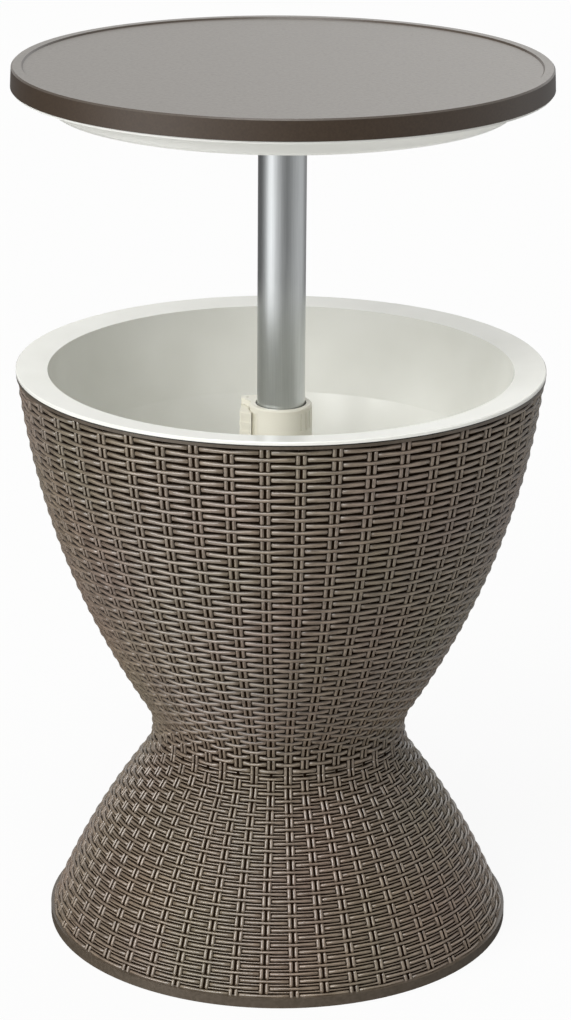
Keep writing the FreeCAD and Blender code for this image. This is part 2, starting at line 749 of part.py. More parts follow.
def make_mast_foot():
    """End plug: cap below the foot ring, spigot with a lead-in inside the tube."""
    spigot = mast_radius - mast_wall
    inner = spigot - foot_spigot_wall
    cap = sleeve_bore - foot_cap_gap
    bottom = mast_bottom - foot_cap
    top = mast_bottom + foot_spigot
    return turned((0, bottom), (cap - lead_in, bottom), (cap, bottom + lead_in), (cap, mast_bottom),
                  (spigot, mast_bottom), (spigot, top), (inner, top),
                  (inner, mast_bottom - foot_cap / 2), (0, mast_bottom - foot_cap / 2))


def make_stop_bumper():
    """Rubber ring that meets the sleeve's shoulder."""
    return ring(mast_radius + running_fit, sleeve_bore - bumper_gap, snap_top, bumper_top)


def make_drain_fitting():
    """Flanged tube from the tub's floor corner out through the bowl."""
    flange_bottom_arc = drain_seat - drain_flange
    return at_drain(turned((drain_bore, flange_bottom_arc), (drain_flange_radius, flange_bottom_arc),
                           (drain_flange_radius, drain_seat), (drain_tube_radius, drain_seat),
                           (drain_tube_radius, tube_end), (drain_bore, tube_end)))


def make_drain_gasket():
    """Flat gasket between the fitting's flange and the tub."""
    return at_drain(ring(drain_tube_radius + running_fit, drain_flange_radius, drain_seat,
                         drain_boss_inside))


def make_drain_nut():
    """Six-sided nut outside the bowl."""
    top = pad_face + drain_nut_height
    hexagon = slab(circle_places(6, drain_nut_radius), pad_face, top)
    bore = rod(drain_tube_radius + running_fit, pad_face - over_cut, top + over_cut)
    return at_drain(hexagon.cut(bore))


def make_drain_plug():
    """Plug: shank in the fitting's bore, bevelled head and finger bar outside."""
    seat = tube_end + seal_thickness
    top = seat + plug_head
    shank = drain_bore - running_fit
    body = turned((0, tube_end - plug_shank), (shank, tube_end - plug_shank), (shank, seat),
                  (plug_head_radius, seat), (plug_head_radius, top - lead_in),
                  (plug_head_radius - lead_in, top), (0, top))
    half = plug_bar_length / 2
    bar = Part.makeBox(plug_bar_length, plug_bar_width, plug_bar_height,
                       V(-half, -plug_bar_width / 2, top - over_cut))
    arch = Part.makeCylinder(half, plug_bar_width, V(0, -plug_bar_width / 2, top - over_cut),
                             V(0, 1, 0))
    return at_drain(body.fuse(bar.common(arch)))


def make_plug_seal():
    """Sealing ring between the plug's head and the tube's end."""
    inner = drain_bore + running_fit
    return at_drain(ring(inner, inner + seal_width, tube_end, tube_end + seal_thickness))


pieces = {
    "tabletop": make_tabletop,
    "lid_liner": make_lid_liner,
    "liner_screws": make_liner_screws,
    "mast_head": make_mast_head,
    "head_screws": make_head_screws,
    "head_rivets": make_head_rivets,
    "mast_tube": make_mast_tube,
    "snap_ring": make_snap_ring,
    "foot_ring": make_foot_ring,
    "mast_foot": make_mast_foot,
    "stop_bumper": make_stop_bumper,
    "collar_body": make_collar_body,
    "guide_bush": make_guide_bush,
    "clamp_lever": make_clamp_lever,
    "lever_pin": make_lever_pin,
    "guide_sleeve": make_guide_sleeve,
    "sleeve_nut": make_sleeve_nut,
    "cooler_tub": make_cooler_tub,
    "bowl_shell": make_bowl_shell,
    "base_shell": make_base_shell,
    "waist_screws": make_waist_screws,
    "drain_fitting": make_drain_fitting,
    "drain_gasket": make_drain_gasket,
    "drain_nut": make_drain_nut,
    "drain_plug": make_drain_plug,
    "plug_seal": make_plug_seal,
}

os.makedirs("parts", exist_ok=True)
for name, make in pieces.items():
    shape = make()
    shape.exportStep(os.path.join("parts", name + ".step"))
    box = shape.BoundBox
    print(f"{name}: {len(shape.Solids)} solid(s), valid {shape.isValid()}, "
          f"{shape.Volume / 1000:.1f} cm3, z {box.ZMin:.1f} to {box.ZMax:.1f}")
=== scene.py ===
import bpy
import json
import numpy as np
from math import asin, atan2, cos, hypot, pi, radians, sin
from mathutils import Matrix, Vector


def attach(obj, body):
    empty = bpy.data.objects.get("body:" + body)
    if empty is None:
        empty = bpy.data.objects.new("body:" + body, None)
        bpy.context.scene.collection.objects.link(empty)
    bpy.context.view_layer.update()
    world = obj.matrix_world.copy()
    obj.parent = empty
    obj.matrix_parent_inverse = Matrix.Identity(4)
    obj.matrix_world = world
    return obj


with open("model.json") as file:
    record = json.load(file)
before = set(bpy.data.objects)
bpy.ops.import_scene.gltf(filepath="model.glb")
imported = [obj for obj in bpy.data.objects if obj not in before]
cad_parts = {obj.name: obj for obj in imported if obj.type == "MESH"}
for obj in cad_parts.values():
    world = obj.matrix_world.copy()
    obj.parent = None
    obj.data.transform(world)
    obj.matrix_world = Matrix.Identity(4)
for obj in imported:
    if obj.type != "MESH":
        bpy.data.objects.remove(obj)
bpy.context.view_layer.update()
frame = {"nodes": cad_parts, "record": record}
mm = 0.001
print("frame loaded:", len(frame["nodes"]), "nodes")


# Small helpers

def hexColour(code):
    # sRGB hex to linear: x / 12.92 below 0.04045, else ((x + 0.055) / 1.055) ** 2.4
    parts = [int(code[i:i + 2], 16) / 255 for i in (1, 3, 5)]
    linear = [x / 12.92 if x <= 0.04045 else ((x + 0.055) / 1.055) ** 2.4 for x in parts]
    return (*linear, 1.0)


def addNode(tree, kind, sockets=None, stops=(), **settings):
    # a socket takes a value, or the output of another node, which is linked; the stops of a colour
    # ramp are pairs of place and linear colour
    node = tree.nodes.new("ShaderNode" + kind)
    for name, value in settings.items():
        setattr(node, name, value)
    for key, value in (sockets or {}).items():
        if isinstance(value, bpy.types.NodeSocket):
            tree.links.new(value, node.inputs[key])
        else:
            node.inputs[key].default_value = value
    for number, (place, colour) in enumerate(stops):
        elements = node.color_ramp.elements    # a new ramp has two
        stop = elements[number] if number < 2 else elements.new(place)
        stop.position, stop.color = place, colour
    return node


def newMaterial(name):
    material = bpy.data.materials.new(name)
    material.use_nodes = True
    tree = material.node_tree
    tree.nodes.clear()
    output = addNode(tree, "OutputMaterial")
    return material, tree, output


def gridMesh(name, grid, uv, closed):
    # quads over grids of points, shape (strips, along, around, 3): around always closes on itself,
    # along closes too or gets a cap at each end, and uv holds the steps of the UV map along and
    # around a strip and from strip to strip
    strips, along, around = grid.shape[:3]
    lines = along if closed else along - 1
    s, i, j = np.meshgrid(np.arange(strips), np.arange(lines), np.arange(around), indexing="ij")
    corners = [(i, j), (i, j + 1), (i + 1, j + 1), (i + 1, j)]
    quads = np.stack([(s * along + a % along) * around + b % around for a, b in corners], axis=-1)
    loops = quads.ravel()
    sizes = np.full(quads.size // 4, 4)
    if not closed:
        first = np.arange(strips)[:, None] * along * around + np.arange(around)[None, :]
        last = first + (along - 1) * around
        loops = np.concatenate([loops, first[:, ::-1].ravel(), last.ravel()])
        sizes = np.concatenate([sizes, np.full(2 * strips, around)])
    mesh = bpy.data.meshes.new(name)
    mesh.vertices.add(strips * along * around)
    mesh.vertices.foreach_set("co", grid.astype(np.float32).ravel())
    mesh.loops.add(len(loops))
    mesh.loops.foreach_set("vertex_index", loops.astype(np.int32))
    mesh.polygons.add(len(sizes))
    starts = np.concatenate([[0], np.cumsum(sizes)[:-1]])
    mesh.polygons.foreach_set("loop_start", starts.astype(np.int32))
    mesh.update(calc_edges=True)
    layer = mesh.uv_layers.new(name="strand")
    u = np.stack([a * uv["along"] for a, b in corners], axis=-1)
    v = np.stack([b * uv["around"] + s * uv["strip"] for a, b in corners], axis=-1)
    flat = np.zeros((len(loops), 2), np.float32)
    flat[:u.size, 0] = u.ravel()
    flat[:v.size, 1] = v.ravel()
    layer.data.foreach_set("uv", flat.ravel())
    return mesh


# Side of the table over the crests of the weave: a large arc, the waist's small arc, a large arc

side = {
    "rimHeight": 553.4 * mm, "rimRadius": 247.5 * mm, "upperArc": 758 * mm,
    "waistHeight": 195.7 * mm, "waistRadius": 122.8 * mm, "waistArc": 52 * mm,
    "footHeight": 9.5 * mm, "footRadius": 221.2 * mm, "lowerArc": 715 * mm,
}


def tangentCentre(point, arc, other, otherArc):
    # centre of an arc through a point that touches the waist's circle from outside: it lies at arc
    # from the point and at arc + otherArc from the circle's centre, on the side of the axis
    dx, dz = other[0] - point[0], other[1] - point[1]
    span = hypot(dx, dz)
    along = (arc ** 2 - (arc + otherArc) ** 2 + span ** 2) / (2 * span)
    across = (arc ** 2 - along ** 2) ** 0.5
    ux, uz = dx / span, dz / span
    return min((point[0] + along * ux - k * across * uz, point[1] + along * uz + k * across * ux)
               for k in (1, -1))


waistCentre = (side["waistRadius"] + side["waistArc"], side["waistHeight"])
upperCentre = tangentCentre((side["rimRadius"], side["rimHeight"]), side["upperArc"],
                            waistCentre, side["waistArc"])
lowerCentre = tangentCentre((side["footRadius"], side["footHeight"]), side["lowerArc"],
                            waistCentre, side["waistArc"])
floorAngle = asin(-lowerCentre[1] / side["lowerArc"])
lowerAngle = atan2(waistCentre[1] - lowerCentre[1], waistCentre[0] - lowerCentre[0])
upperAngle = atan2(waistCentre[1] - upperCentre[1], waistCentre[0] - upperCentre[0])
lowerLength = (lowerAngle - floorAngle) * side["lowerArc"]
waistLength = (lowerAngle - upperAngle) * side["waistArc"]


def sidePath(s):
    # point and outward normal of the side at the length s up from the floor: the angle of the
    # normal grows along the large arcs and falls along the waist
    low, mid, high = s < lowerLength, s < lowerLength + waistLength, s >= lowerLength + waistLength
    angle = np.select([low, mid, high], [
        floorAngle + s / side["lowerArc"],
        lowerAngle - (s - lowerLength) / side["waistArc"],
        upperAngle + (s - lowerLength - waistLength) / side["upperArc"]])
    nr, nz = np.cos(angle), np.sin(angle)
    r = np.select([low, mid, high], [
        lowerCentre[0] + side["lowerArc"] * nr, waistCentre[0] - side["waistArc"] * nr,
        upperCentre[0] + side["upperArc"] * nr])
    z = np.select([low, mid, high], [
        lowerCentre[1] + side["lowerArc"] * nz, waistCentre[1] - side["waistArc"] * nz,
        upperCentre[1] + side["upperArc"] * nz])
    return r, z, nr, nz


# Woven look: pairs of upright stakes and rows of weavers that go over one pair and under the next.
# Places are lengths along the side, and depths are measured out from the side

weave = {
    "pairs": 48, "firstPair": -3.2,            # degrees from the front, towards +X
    "bowlFirst": 596.3 * mm, "bowlLast": 220.1 * mm, "bowlRows": 58,    # rows, from the top down
    "baseFirst": 213.3 * mm, "baseLast": 11.7 * mm, "baseRows": 31,
    "bowlFirstOver": 1, "baseFirstOver": 0,    # the first row goes over the odd or the even pairs
    "bowlTop": 600.6 * mm, "bowlBottom": 216.8 * mm,    # ends of the stakes, with a joint between
    "baseTop": 216.4 * mm, "baseBottom": 9.6 * mm,
    "stakeWidthWaist": 3.4 * mm, "stakeWidthRim": 4.2 * mm,
    "stakesApartWaist": 4.5 * mm, "stakesApartRim": 5.7 * mm,
    "deepest": -5.1 * mm,                      # strands end inside the walls, which end at -6 mm
}
weaver = {
    "over": 0.0, "beside": -1.3 * mm, "under": -4.2 * mm,    # depth of its top at each place
    "tuck": 0.6 * mm, "rise": 1.9 * mm,        # it comes out over this length, from within the pair
    "riseSamples": (0, 0.5, 1), "climbSamples": (0.4, 0.7, 1),
    "bowlOver": 1.7 * mm, "bowlBeside": 2.35 * mm,    # half its width
    "baseOver": 1.35 * mm, "baseBeside": 1.7 * mm, "narrowing": 3,
    "halfDepth": 1.9 * mm,
}
stake = {
    "high": -0.9 * mm, "low": -3.6 * mm,       # depth of its top between weavers and under one
    "dipStart": 1.1 * mm, "dipEnd": 2.4 * mm,  # of the step between them, from the weaver's middle
    "halfDepth": 1.8 * mm, "widthAtDip": 0.75,
    "samplesPerRow": 7, "samplesCut": 2,       # those left still pass the lower end a little,
                                               # unseen in the joint and in the foot's band
}
groundRib = {"top": -2.1 * mm, "half": 0.8 * mm, "halfDepth": 0.9 * mm, "samples": 144}

# Closed section of a strand, as shares of its half width and half depth: round on top, flat below
strandSection = np.array([(0.80, -1.0), (1.0, -0.1), (0.64, 0.70), (0.0, 1.0),
                          (-0.64, 0.70), (-1.0, -0.1), (-0.80, -1.0)])


def smoothStep(x):
    # 3 x^2 - 2 x^3, held at 0 and 1 outside
    x = np.clip(x, 0, 1)
    return x * x * (3 - 2 * x)


def rowPlaces(part, number):
    # even steps from the first row to the last
    first, last = weave[part + "First"], weave[part + "Last"]
    return first + (last - first) * number / (weave[part + "Rows"] - 1)


def stakeSizes(r):
    # width of a stake and distance between the two of a pair, at the radius r: straight lines from
    # the waist to the rim
    share = np.clip((r - side["waistRadius"]) / (side["rimRadius"] - side["waistRadius"]), 0, 1)
    width = weave["stakeWidthWaist"] + (weave["stakeWidthRim"] - weave["stakeWidthWaist"]) * share
    apart = weave["stakesApartWaist"] + (
        weave["stakesApartRim"] - weave["stakesApartWaist"]) * share
    return width, apart


def weaverRows(part, start, stop):
    # rings at the heights of the rows: each lies low within an under pair, comes out beside it in
    # a smooth step, then climbs and narrows until it crosses over the next pair
    number = np.arange(start, stop)
    r, z, nr, nz = (a[:, None] for a in sidePath(rowPlaces(part, number)))
    width, apart = stakeSizes(r)
    pairHalf = (width + apart) / 2
    pitch = 2 * pi * r / weave["pairs"]
    riseSamples = np.array([weaver["riseSamples"]])
    climbSamples = np.array([weaver["climbSamples"]])
    edge = (pairHalf - weaver["tuck"] + weaver["rise"] * riseSamples) / pitch
    climb = (pairHalf + (pitch - 2 * pairHalf) * climbSamples) / pitch
    level = np.ones_like(r)
    near = np.concatenate([0 * level, edge, climb], axis=1)
    place = np.concatenate([near, level, 2 - near[:, :0:-1]], axis=1)
    samples = place.shape[1]
    periods = weave["pairs"] // 2
    underPair = (number + weave[part + "FirstOver"] + 1)[:, None, None] % 2
    turnPlace = underPair + 2 * np.arange(periods)[None, :, None] + place[:, None, :]
    turnPlace = turnPlace.reshape(len(number), periods * samples)
    fromUnder = np.tile(np.minimum(place, 2 - place), (1, periods))
    rising = smoothStep((fromUnder * pitch - pairHalf + weaver["tuck"]) / weaver["rise"])
    share = np.clip((fromUnder * pitch - pairHalf) / (pitch - 2 * pairHalf), 0, 1)
    crossing = (share + smoothStep(share)) / 2
    top = weaver["under"] + (weaver["beside"] - weaver["under"]) * rising
    top = top + (weaver["over"] - weaver["beside"]) * crossing
    beside, over = weaver[part + "Beside"], weaver[part + "Over"]
    half = beside + (over - beside) * share ** weaver["narrowing"]
    u = strandSection[:, 0] * half[:, :, None]
    v = top[:, :, None] + (strandSection[:, 1] - 1) * weaver["halfDepth"]
    v = np.maximum(v, weave["deepest"])
    radius = r[:, :, None] - nz[:, :, None] * u + nr[:, :, None] * v
    height = z[:, :, None] + nr[:, :, None] * u + nz[:, :, None] * v
    turn = np.radians(weave["firstPair"] + turnPlace * 360 / weave["pairs"])[:, :, None]
    return np.stack([radius * np.sin(turn), -radius * np.cos(turn), height], axis=-1)


def stakePairs(part):
    # two rods per pair that run up the side, high between the weavers, and low in a smooth step
    # where a weaver goes over them
    first, rows = weave[part + "First"], weave[part + "Rows"]
    pitch = (first - weave[part + "Last"]) / (rows - 1)
    perRow = stake["samplesPerRow"]
    inner = np.arange(rows * perRow - stake["samplesCut"]) / perRow
    top, bottom = (first - weave[part + end] for end in ("Top", "Bottom"))
    row = np.concatenate([[top / pitch], inner, [bottom / pitch]])
    r, z, nr, nz = sidePath(first - row * pitch)
    pair = np.repeat(np.arange(weave["pairs"]), 2)
    hand = np.tile([-1, 1], weave["pairs"])
    crossing = (pair[:, None] + weave[part + "FirstOver"]) % 2
    held = np.clip(row, 0, rows - 1)[None, :]
    fromCrossing = np.abs((held - crossing + 1) % 2 - 1) * pitch
    rising = smoothStep((fromCrossing - stake["dipStart"]) / (stake["dipEnd"] - stake["dipStart"]))
    crest = stake["low"] + (stake["high"] - stake["low"]) * rising
    width, apart = stakeSizes(r)
    half = width / 2 * (stake["widthAtDip"] + (1 - stake["widthAtDip"]) * rising)
    v = crest[:, :, None] + (strandSection[:, 1] - 1) * stake["halfDepth"]
    v = np.maximum(v, weave["deepest"])
    u = hand[:, None, None] * apart[:, None] / 2 - strandSection[:, 0] * half[:, :, None]
    radius = r[:, None] + nr[:, None] * v
    height = z[:, None] + nz[:, None] * v
    turn = np.radians(weave["firstPair"] + pair * 360 / weave["pairs"])[:, None, None]
    return np.stack([radius * np.sin(turn) + u * np.cos(turn),
                     -radius * np.cos(turn) + u * np.sin(turn), height], axis=-1)


def groundRings(part):
    # plain rings that lie low between the rows and over the joint above the first: the strand's
    # section carried round the axis
    number = np.arange(weave[part + "Rows"]) - 0.5
    r, z, nr, nz = (a[:, None, None] for a in sidePath(rowPlaces(part, number)))
    u = strandSection[:, 0] * groundRib["half"]
    v = groundRib["top"] + (strandSection[:, 1] - 1) * groundRib["halfDepth"]
    turn = (np.arange(groundRib["samples"]) * 2 * pi / groundRib["samples"])[:, None]
    radius = r - nz * u + nr * v
    height = z + nr * u + nz * v + 0 * turn
    return np.stack([radius * np.sin(turn), -radius * np.cos(turn), height], axis=-1)


# Materials: clouds, patches, streaks and lines are counted in a metre, and pebbles and grain have a
# size

wickerLook = {
    "dark": "#605345", "light": "#908170", "darkBelow": 0.30, "lightAbove": 0.72,
    "streaks": (90, 5, 1),                     # in a metre along the strand, and in a turn round it
    "patches": 9.0, "patchShare": 0.12,
    "grainStrength": 0.35, "grainDepth": 0.12 * mm, "smoothest": 0.21, "roughest": 0.34,
    "crest": 3 / 7, "flankStart": 1.1 / 7, "flankEnd": 2.2 / 7,    # shares of the way round it
    # the flanks' colour is painted shade down each strand's sides, with their roughness there
    "flankShade": "#1b130c", "flankRoughness": 0.8,
}


def mouldedWicker():
    # polypropylene moulded as round rattan: satin, with fine streaks along each strand, and with
    # painted shade, a dark colour, down the flanks, which are also made dull
    look = wickerLook
    material, tree, output = newMaterial("mouldedWicker")
    place = addNode(tree, "UVMap", uv_map="strand")
    stretched = addNode(tree, "VectorMath", {0: place.outputs[0], 1: look["streaks"]},
                        operation="MULTIPLY")
    streak = addNode(tree, "TexNoise", {"Vector": stretched.outputs[0], "Scale": 1.0,
                                        "Detail": 3.0})
    table = addNode(tree, "TexCoord")
    patch = addNode(tree, "TexNoise", {"Vector": table.outputs["Object"],
                                       "Scale": look["patches"], "Detail": 2.0})
    ramp = addNode(tree, "ValToRGB", {"Fac": streak.outputs["Fac"]},
                   [(look["darkBelow"], hexColour(look["dark"])),
                    (look["lightAbove"], hexColour(look["light"]))])
    tint = addNode(tree, "MixRGB", {"Fac": look["patchShare"], "Color1": ramp.outputs[0],
                                    "Color2": patch.outputs["Color"]}, blend_type="SOFT_LIGHT")
    grain = addNode(tree, "Bump", {"Height": streak.outputs["Fac"],
                                   "Strength": look["grainStrength"],
                                   "Distance": look["grainDepth"]})
    parts = addNode(tree, "SeparateXYZ", {0: place.outputs[0]})
    around = addNode(tree, "Math", {0: parts.outputs["Y"]}, operation="FRACT")
    # painted shade: away from the crest the colour turns dark down the flanks
    fromCrest = addNode(tree, "Math", {0: around.outputs[0], 1: look["crest"]},
                        operation="SUBTRACT")
    fromCrest = addNode(tree, "Math", {0: fromCrest.outputs[0]}, operation="ABSOLUTE")
    flankShade = addNode(tree, "MapRange", {"Value": fromCrest.outputs[0],
                                       "From Min": look["flankStart"],
                                       "From Max": look["flankEnd"]})
    colour = addNode(tree, "MixRGB", {"Fac": flankShade.outputs[0], "Color1": tint.outputs[0],
                                      "Color2": hexColour(look["flankShade"])})
    satin = addNode(tree, "MapRange", {"Value": streak.outputs["Fac"],
                                       "To Min": look["smoothest"], "To Max": look["roughest"]})
    rough = addNode(tree, "Mix", {"Factor": flankShade.outputs[0], "A": satin.outputs[0],
                                  "B": look["flankRoughness"]})
    shader = addNode(tree, "BsdfPrincipled", {
        "Base Color": colour.outputs[0], "Roughness": rough.outputs[0], "IOR": 1.49,
        "Specular IOR Level": 1.0, "Normal": grain.outputs[0]})
    tree.links.new(shader.outputs[0], output.inputs[0])
    return material


shellLook = {
    "dark": "#4d4439", "light": "#5a5045", "darkBelow": 0.35, "lightAbove": 0.7,
    "clouds": 260.0, "grainStrength": 0.2, "grainDepth": 0.15 * mm, "roughness": 0.34,
    "footBand": 0.2 * mm, "rimBand": 4.2 * mm,    # above the foot's height, below the rim's
    # painted shade: the outward-facing wall between the bands is drawn matt near-black behind the
    # weave
    "hollow": "#1a120b", "hollowFacing": 0.03,    # the outer wall: radius x outward normal, metres
    # painted shade: a near-black line along the top of the band, under the rim's edge
    "paintedJointShade": "#14100c", "jointDepth": 1.2 * mm,
}


def shellPlastic():
    # the same polypropylene as a plain wall: satin bands, painted shade as matt near-black in the
    # hollows behind the weave, and a painted shade line at the joint below the rim
    look = shellLook
    material, tree, output = newMaterial("shellPlastic")
    place = addNode(tree, "TexCoord")
    parts = addNode(tree, "SeparateXYZ", {0: place.outputs["Object"]})
    low = addNode(tree, "Math", {0: parts.outputs["Z"], 1: side["footHeight"] + look["footBand"]},
                  operation="GREATER_THAN")
    high = addNode(tree, "Math", {0: parts.outputs["Z"], 1: side["rimHeight"] - look["rimBand"]},
                   operation="LESS_THAN")
    flat = addNode(tree, "VectorMath", {0: place.outputs["Object"], 1: (1, 1, 0)},
                   operation="MULTIPLY")
    facing = addNode(tree, "VectorMath", {0: flat.outputs[0], 1: place.outputs["Normal"]},
                     operation="DOT_PRODUCT")
    outward = addNode(tree, "Math", {0: facing.outputs["Value"], 1: look["hollowFacing"]},
                      operation="GREATER_THAN")
    between = addNode(tree, "Math", {0: low.outputs[0], 1: high.outputs[0]}, operation="MULTIPLY")
    hollow = addNode(tree, "Math", {0: between.outputs[0], 1: outward.outputs[0]},
                     operation="MULTIPLY")
    cloud = addNode(tree, "TexNoise", {"Vector": place.outputs["Object"],
                                       "Scale": look["clouds"], "Detail": 3.0})
    plain = addNode(tree, "ValToRGB", {"Fac": cloud.outputs["Fac"]},
                    [(look["darkBelow"], hexColour(look["dark"])),
                     (look["lightAbove"], hexColour(look["light"]))])
    # painted shade: the top of the band below the rim is painted near-black
    paintedJointShade = addNode(tree, "Math", {0: parts.outputs["Z"],
                                   1: side["rimHeight"] - look["jointDepth"]},
                    operation="GREATER_THAN")
    colour = addNode(tree, "MixRGB", {"Fac": paintedJointShade.outputs[0], "Color1": plain.outputs[0],
                                      "Color2": hexColour(look["paintedJointShade"])})
    grain = addNode(tree, "Bump", {"Height": cloud.outputs["Fac"],
                                   "Strength": look["grainStrength"],
                                   "Distance": look["grainDepth"]})
    shader = addNode(tree, "BsdfPrincipled", {
        "Base Color": colour.outputs[0], "Roughness": look["roughness"], "IOR": 1.49,
        "Normal": grain.outputs[0]})
    # painted shade: a matt dark shader on the hollows behind the weave
    paintedShadeMatt = addNode(tree, "BsdfDiffuse", {"Color": hexColour(look["hollow"])})
    mixed = addNode(tree, "MixShader", {0: hollow.outputs[0], 1: shader.outputs[0],
                                        2: paintedShadeMatt.outputs[0]})
    tree.links.new(mixed.outputs[0], output.inputs[0])
    return material


lidLook = {
    "dark": "#34281d", "light": "#3f3225", "darkBelow": 0.3, "lightAbove": 0.7,
    # painted sheen on the top: pale colours, lighter at each pebble's middle than at its edge
    "sheenPebbleMiddle": "#7f7973", "sheenPebbleEdge": "#6b665e",
    "pebble": 3.0 * mm, "clouds": 500.0,
    "topFrom": 0.6, "topTo": 0.95,             # Z of the normal, where the band turns into the top
    "grainStrength": 0.6, "grainDepth": 0.4 * mm, "roughness": 0.34, "specular": 0.55,
}


def grainedLid():
    # brown polypropylene with a spark-eroded pebble grain on top, painted paler there as a painted
    # sheen, lightest at each pebble's middle; the pebbles of about 1 mm are drawn at 3 mm to show
    look = lidLook
    material, tree, output = newMaterial("grainedLid")
    place = addNode(tree, "TexCoord")
    pebble = addNode(tree, "TexVoronoi", {"Vector": place.outputs["Object"],
                                          "Scale": 1 / look["pebble"]}, feature="SMOOTH_F1")
    cloud = addNode(tree, "TexNoise", {"Vector": place.outputs["Object"],
                                       "Scale": look["clouds"], "Detail": 4.0})
    parts = addNode(tree, "SeparateXYZ", {0: place.outputs["Normal"]})
    upward = addNode(tree, "MapRange", {"Value": parts.outputs["Z"],
                                        "From Min": look["topFrom"], "From Max": look["topTo"]})
    height = addNode(tree, "Math", {0: pebble.outputs["Distance"], 1: cloud.outputs["Fac"]},
                     operation="MULTIPLY")
    plain = addNode(tree, "ValToRGB", {"Fac": cloud.outputs["Fac"]},
                    [(look["darkBelow"], hexColour(look["dark"])),
                     (look["lightAbove"], hexColour(look["light"]))])
    # painted sheen: the top, found by its upward normal, is painted pale, lightest at each pebble's
    # middle
    paintedSheen = addNode(tree, "ValToRGB", {"Fac": pebble.outputs["Distance"]},
                    [(0, hexColour(look["sheenPebbleMiddle"])), (1, hexColour(look["sheenPebbleEdge"]))])
    colour = addNode(tree, "MixRGB", {"Fac": upward.outputs[0], "Color1": plain.outputs[0],
                                      "Color2": paintedSheen.outputs[0]})
    strength = addNode(tree, "Math", {0: upward.outputs[0], 1: look["grainStrength"]},
                       operation="MULTIPLY")
    grain = addNode(tree, "Bump", {"Height": height.outputs[0], "Strength": strength.outputs[0],
                                   "Distance": look["grainDepth"]})
    shader = addNode(tree, "BsdfPrincipled", {
        "Base Color": colour.outputs[0], "Roughness": look["roughness"], "IOR": 1.49,
        "Specular IOR Level": look["specular"], "Normal": grain.outputs[0]})
    tree.links.new(shader.outputs[0], output.inputs[0])
    return material


# The plastics' grain of some tenths of a millimetre is drawn coarser, so that it shows
plastics = {
    # from a polished tool: milky white with a soft gloss
    "tubPolypropylene": {"dark": "#e7e7e0", "light": "#eeeee8", "roughness": 0.18,
                         "grain": 2.5 * mm, "grainDepth": 0.02 * mm},
    # from a duller tool: clean white and satin
    "linerPolypropylene": {"dark": "#f1f1ec", "light": "#f5f5f1", "roughness": 0.34,
                           "grain": 1.2 * mm, "grainDepth": 0.03 * mm},
    # moulded nylon: warm cream and satin
    "collarNylon": {"dark": "#e6e2d3", "light": "#efecde", "roughness": 0.34,
                    "grain": 0.9 * mm, "grainDepth": 0.02 * mm},
    # moulded acetal: mid grey, a little waxy
    "bushAcetal": {"dark": "#7d7e7e", "light": "#8c8d8d", "roughness": 0.4,
                   "grain": 0.9 * mm, "grainDepth": 0.02 * mm},
    # moulded rubber: near black and dull
    "sealRubber": {"dark": "#1b1a19", "light": "#2a2928", "roughness": 0.7,
                   "grain": 0.6 * mm, "grainDepth": 0.05 * mm},
}
plasticCloud = {"clouds": 14.0, "darkBelow": 0.3, "lightAbove": 0.7, "grainStrength": 0.3}


def mouldedPlastic(name):
    # plain moulded plastic: even colour with a faint cloud and the fine grain of the tool
    look = {**plasticCloud, **plastics[name]}
    material, tree, output = newMaterial(name)
    place = addNode(tree, "TexCoord")
    cloud = addNode(tree, "TexNoise", {"Vector": place.outputs["Object"],
                                       "Scale": look["clouds"], "Detail": 2.0})
    fine = addNode(tree, "TexNoise", {"Vector": place.outputs["Object"],
                                      "Scale": 1 / look["grain"], "Detail": 2.0})
    ramp = addNode(tree, "ValToRGB", {"Fac": cloud.outputs["Fac"]},
                   [(look["darkBelow"], hexColour(look["dark"])),
                    (look["lightAbove"], hexColour(look["light"]))])
    bump = addNode(tree, "Bump", {"Height": fine.outputs["Fac"],
                                  "Strength": look["grainStrength"],
                                  "Distance": look["grainDepth"]})
    shader = addNode(tree, "BsdfPrincipled", {
        "Base Color": ramp.outputs[0], "Roughness": look["roughness"], "IOR": 1.5,
        "Normal": bump.outputs[0]})
    tree.links.new(shader.outputs[0], output.inputs[0])
    return material


aluminiumLook = {
    "dark": "#bfc2c3", "light": "#cbcecf", "darkBelow": 0.3, "lightAbove": 0.7,
    "lines": 1400.0, "stretch": (1, 1, 0.012),    # across the tube, and drawn out along it
    "grainStrength": 0.15, "grainDepth": 0.05 * mm, "roughness": 0.28,
}


def drawnAluminium():
    # drawn and satin anodised tube: fine die lines run along it and stretch the highlights; the
    # lines of about 0.1 mm are drawn 0.7 mm apart, so that they show
    look = aluminiumLook
    material, tree, output = newMaterial("drawnAluminium")
    place = addNode(tree, "TexCoord")
    stretched = addNode(tree, "Mapping", {"Vector": place.outputs["Object"],
                                          "Scale": look["stretch"]})
    lines = addNode(tree, "TexNoise", {"Vector": stretched.outputs[0], "Scale": look["lines"],
                                       "Detail": 3.0})
    ramp = addNode(tree, "ValToRGB", {"Fac": lines.outputs["Fac"]},
                   [(look["darkBelow"], hexColour(look["dark"])),
                    (look["lightAbove"], hexColour(look["light"]))])
    bump = addNode(tree, "Bump", {"Height": lines.outputs["Fac"],
                                  "Strength": look["grainStrength"],
                                  "Distance": look["grainDepth"]})
    shader = addNode(tree, "BsdfPrincipled", {
        "Base Color": ramp.outputs[0], "Metallic": 1.0, "Roughness": look["roughness"],
        "Normal": bump.outputs[0]})
    tree.links.new(shader.outputs[0], output.inputs[0])
    return material


zincLook = {"dark": "#9fa2a3", "light": "#c3c6c8", "clouds": 700.0, "roughness": 0.38}


